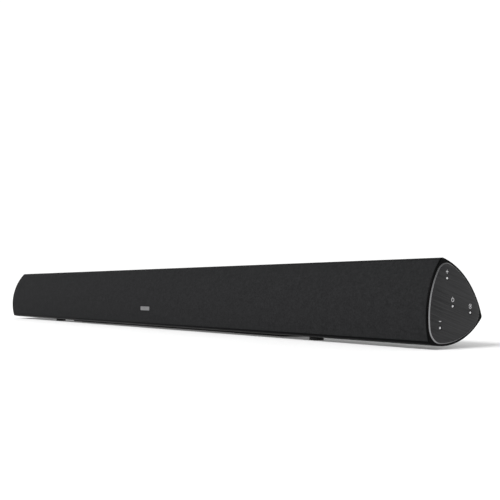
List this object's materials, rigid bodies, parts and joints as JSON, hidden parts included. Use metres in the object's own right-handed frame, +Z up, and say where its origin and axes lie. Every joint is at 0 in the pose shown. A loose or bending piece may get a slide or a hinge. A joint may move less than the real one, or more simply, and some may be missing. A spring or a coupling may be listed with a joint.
{
  "type": "soundbar",
  "caption": "Long soundbar of rounded triangular section with a cloth front, brushed end panel with side keys, and a low black pedestal.",
  "frame": {"origin": "centre of the underside: the plane the rubber feet stand on", "axes": "+X along the bar to the end with the keys, -Y towards the cloth front, +Z up"},
  "size_m": [0.8819, 0.0722, 0.0742],
  "materials": {
    "gloss_shell": "glossy moulded plastic, near black",
    "cloth": "tightly stretched dark charcoal grille cloth",
    "brushed_panel": "dark anodised aluminium with a slanted brushed grain and a bright cut edge",
    "bright_metal": "small bright metal beads and plate",
    "rubber": "matte black rubber",
    "matte_black": "fine-textured black moulding",
    "orange_jack": "orange insulated phono jack",
    "purple_jack": "purple insulated phono jack",
    "circuit_board": "green solder mask",
    "bare_aluminium": "bare extruded aluminium",
    "wire": "red insulated wire",
    "steel": "zinc-plated steel",
    "brass": "knurled brass",
    "basket_steel": "black painted pressed steel",
    "paper_cone": "coated paper",
    "spider_cloth": "resin-treated cloth",
    "dome_silk": "coated silk dome"
  },
  "bodies": {
    "root": {"rear_cover": "gloss_shell", "bottom_tray": "gloss_shell", "front_baffle": "matte_black", "grille_frame": "matte_black", "grille_cloth": "cloth", "left_end_cap": "gloss_shell", "right_end_cap": "gloss_shell", "left_end_panel": "brushed_panel", "right_end_panel": "brushed_panel", "badge": "bright_metal", "pedestal": "gloss_shell", "rubber_feet": "rubber", "left_bass_port": "matte_black", "right_bass_port": "matte_black", "connector_bay": "gloss_shell", "mains_inlet": "matte_black", "aux_jack": "matte_black", "optical_jack": "matte_black", "coaxial_jack": "orange_jack", "subwoofer_jack": "purple_jack", "amplifier_board": "circuit_board", "power_supply_board": "circuit_board", "heat_sink": "bare_aluminium", "key_board": "circuit_board", "indicator_board": "circuit_board", "speaker_wires": "wire", "driver_gaskets": "rubber", "driver_screws": "steel", "end_cap_screws": "steel", "tray_screws": "steel", "wall_mount_inserts": "brass", "left_inner_woofer_frame": "basket_steel", "left_inner_woofer_magnet": "steel", "left_inner_woofer_surround": "rubber", "left_inner_woofer_spider": "spider_cloth", "left_outer_woofer_frame": "basket_steel", "left_outer_woofer_magnet": "steel", "left_outer_woofer_surround": "rubber", "left_outer_woofer_spider": "spider_cloth", "right_inner_woofer_frame": "basket_steel", "right_inner_woofer_magnet": "steel", "right_inner_woofer_surround": "rubber", "right_inner_woofer_spider": "spider_cloth", "right_outer_woofer_frame": "basket_steel", "right_outer_woofer_magnet": "steel", "right_outer_woofer_surround": "rubber", "right_outer_woofer_spider": "spider_cloth", "left_tweeter_body": "matte_black", "right_tweeter_body": "matte_black"},
    "volume_up_key": {"volume_up_button": "bright_metal"},
    "power_key": {"power_button": "bright_metal"},
    "source_key": {"source_button": "bright_metal"},
    "volume_down_key": {"volume_down_button": "bright_metal"},
    "left_inner_woofer_diaphragm": {"left_inner_woofer_cone": "paper_cone"},
    "left_outer_woofer_diaphragm": {"left_outer_woofer_cone": "paper_cone"},
    "right_inner_woofer_diaphragm": {"right_inner_woofer_cone": "paper_cone"},
    "right_outer_woofer_diaphragm": {"right_outer_woofer_cone": "paper_cone"},
    "left_tweeter_diaphragm": {"left_tweeter_dome": "dome_silk"},
    "right_tweeter_diaphragm": {"right_tweeter_dome": "dome_silk"}
  },
  "joints": [
    {"name": "volume_up_press", "type": "slide", "parent": "root", "child": "volume_up_key", "axis": [-1, 0, 0], "range_m": [0, 0.0004], "stiffness_N_per_m": 1500},
    {"name": "power_press", "type": "slide", "parent": "root", "child": "power_key", "axis": [-1, 0, 0], "range_m": [0, 0.0004], "stiffness_N_per_m": 1500},
    {"name": "source_press", "type": "slide", "parent": "root", "child": "source_key", "axis": [-1, 0, 0], "range_m": [0, 0.0004], "stiffness_N_per_m": 1500},
    {"name": "volume_down_press", "type": "slide", "parent": "root", "child": "volume_down_key", "axis": [-1, 0, 0], "range_m": [0, 0.0004], "stiffness_N_per_m": 1500},
    {"name": "left_inner_woofer_stroke", "type": "slide", "parent": "root", "child": "left_inner_woofer_diaphragm", "axis": [0, -0.9715, 0.2368], "range_m": [-0.0025, 0.0025], "stiffness_N_per_m": 900, "deforming": ["left_inner_woofer_surround", "left_inner_woofer_spider"]},
    {"name": "left_outer_woofer_stroke", "type": "slide", "parent": "root", "child": "left_outer_woofer_diaphragm", "axis": [0, -0.9715, 0.2368], "range_m": [-0.0025, 0.0025], "stiffness_N_per_m": 900, "deforming": ["left_outer_woofer_surround", "left_outer_woofer_spider"]},
    {"name": "right_inner_woofer_stroke", "type": "slide", "parent": "root", "child": "right_inner_woofer_diaphragm", "axis": [0, -0.9715, 0.2368], "range_m": [-0.0025, 0.0025], "stiffness_N_per_m": 900, "deforming": ["right_inner_woofer_surround", "right_inner_woofer_spider"]},
    {"name": "right_outer_woofer_stroke", "type": "slide", "parent": "root", "child": "right_outer_woofer_diaphragm", "axis": [0, -0.9715, 0.2368], "range_m": [-0.0025, 0.0025], "stiffness_N_per_m": 900, "deforming": ["right_outer_woofer_surround", "right_outer_woofer_spider"]},
    {"name": "left_tweeter_stroke", "type": "slide", "parent": "root", "child": "left_tweeter_diaphragm", "axis": [0, -0.9715, 0.2368], "range_m": [-0.0003, 0.0003], "stiffness_N_per_m": 2500},
    {"name": "right_tweeter_stroke", "type": "slide", "parent": "root", "child": "right_tweeter_diaphragm", "axis": [0, -0.9715, 0.2368], "range_m": [-0.0003, 0.0003], "stiffness_N_per_m": 2500}
  ]
}
